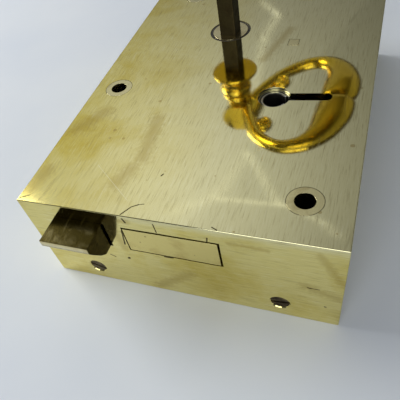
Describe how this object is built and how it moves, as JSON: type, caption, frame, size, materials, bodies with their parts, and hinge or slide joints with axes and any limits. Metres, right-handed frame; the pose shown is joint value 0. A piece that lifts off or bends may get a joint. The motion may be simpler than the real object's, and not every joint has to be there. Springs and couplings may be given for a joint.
{
  "type": "rim door lock",
  "caption": "Brass rim lock with a sprung latch bolt, a lever deadbolt and a drop handle on a square spindle.",
  "frame": {"origin": "middle of the back face, where the lock meets the door", "axes": "+Z out of the face, towards the handle; +X along the forend, the way the handle hangs; the forend faces -Y"},
  "size_m": [0.102, 0.162, 0.0878],
  "materials": {
    "case_brass": "brushed and polished, tarnished at the edges",
    "cover_brass": "dull brass sheet",
    "screw_steel": "aged brass screw heads",
    "pillar_brass": "brushed, riveted flush",
    "latch_brass": "worn and darkened by the keeper",
    "spring_steel": "oiled spring wire",
    "stud_brass": "turned",
    "hub_brass": "cast, polished by wear on its face",
    "spindle_steel": "dark oxidised forged steel",
    "handle_brass": "polished turned brass",
    "bolt_brass": "filed flat, brushed",
    "stump_steel": "filed steel",
    "lever_brass": "rolled sheet brass",
    "barrel_steel": "dark turned steel"
  },
  "bodies": {
    "lock_case": {"case": "case_brass", "forend": "case_brass", "rim_left": "case_brass", "rim_right": "case_brass", "rim_rear": "case_brass", "back_cover": "cover_brass", "cover_lugs": "cover_brass", "cover_screws": "screw_steel", "fixing_pillars": "pillar_brass", "latch_spring": "spring_steel", "latch_spring_post": "stud_brass", "latch_bridge": "stud_brass", "bolt_guide_stud": "stud_brass", "lever_post": "stud_brass", "lever_washers": "stump_steel", "spring_bar": "pillar_brass"},
    "latch": {"latch_bolt": "latch_brass"},
    "follower": {"hub": "hub_brass"},
    "handle": {"spindle": "spindle_steel", "handle_neck": "handle_brass", "loop_pin": "handle_brass"},
    "loop": {"drop_loop": "handle_brass"},
    "bolt": {"deadbolt": "bolt_brass", "bolt_stump": "stump_steel"},
    "lever_a": {"lever_1": "lever_brass", "lever_spring_1": "spring_steel"},
    "lever_b": {"lever_2": "lever_brass", "lever_spring_2": "spring_steel"},
    "lever_c": {"lever_3": "lever_brass", "lever_spring_3": "spring_steel"},
    "barrel": {"key_barrel": "barrel_steel"}
  },
  "joints": [
    {"name": "hub_turn", "type": "hinge", "parent": "lock_case", "child": "follower", "pos_m": [-0.0075, 0.0265, 0.03], "axis": [0, 0, -1], "range_deg": [0, 36]},
    {"name": "latch_slide", "type": "slide", "parent": "lock_case", "child": "latch", "axis": [0, 1, 0], "range_m": [0, 0.01], "stiffness_N_per_m": 300, "springref_m": -0.012, "deforming": ["latch_spring"]},
    {"name": "handle_slide", "type": "slide", "parent": "follower", "child": "handle", "axis": [0, 0, 1], "range_m": [-0.0182, 0.04]},
    {"name": "loop_swing", "type": "hinge", "parent": "handle", "child": "loop", "pos_m": [-0.0075, 0.0265, 0.0815], "axis": [-0.0698, -0.9976, 0], "range_deg": [0, 100]},
    {"name": "bolt_slide", "type": "slide", "parent": "lock_case", "child": "bolt", "axis": [0, -1, 0], "range_m": [0, 0.014]},
    {"name": "lever_a_lift", "type": "hinge", "parent": "lock_case", "child": "lever_a", "pos_m": [0.006, 0.007, 0.025], "axis": [0, 0, -1], "range_deg": [0, 5.6], "deforming": ["lever_spring_1"]},
    {"name": "lever_b_lift", "type": "hinge", "parent": "lock_case", "child": "lever_b", "pos_m": [0.006, 0.007, 0.025], "axis": [0, 0, -1], "range_deg": [0, 5.6], "deforming": ["lever_spring_2"]},
    {"name": "lever_c_lift", "type": "hinge", "parent": "lock_case", "child": "lever_c", "pos_m": [0.006, 0.007, 0.025], "axis": [0, 0, -1], "range_deg": [0, 5.6], "deforming": ["lever_spring_3"]},
    {"name": "barrel_turn", "type": "hinge", "parent": "lock_case", "child": "barrel", "pos_m": [0.0195, -0.0163, 0.02], "axis": [0, 0, 1], "continuous": true}
  ],
  "couplings": [
    {"joint": "latch_slide", "follows": "hub_turn", "m_per_rad": 0.015915},
    {"joint": "lever_a_lift", "follows": "bolt_slide", "rad_per_m": 6.9813},
    {"joint": "lever_b_lift", "follows": "bolt_slide", "rad_per_m": 6.9813},
    {"joint": "lever_c_lift", "follows": "bolt_slide", "rad_per_m": 6.9813}
  ]
}
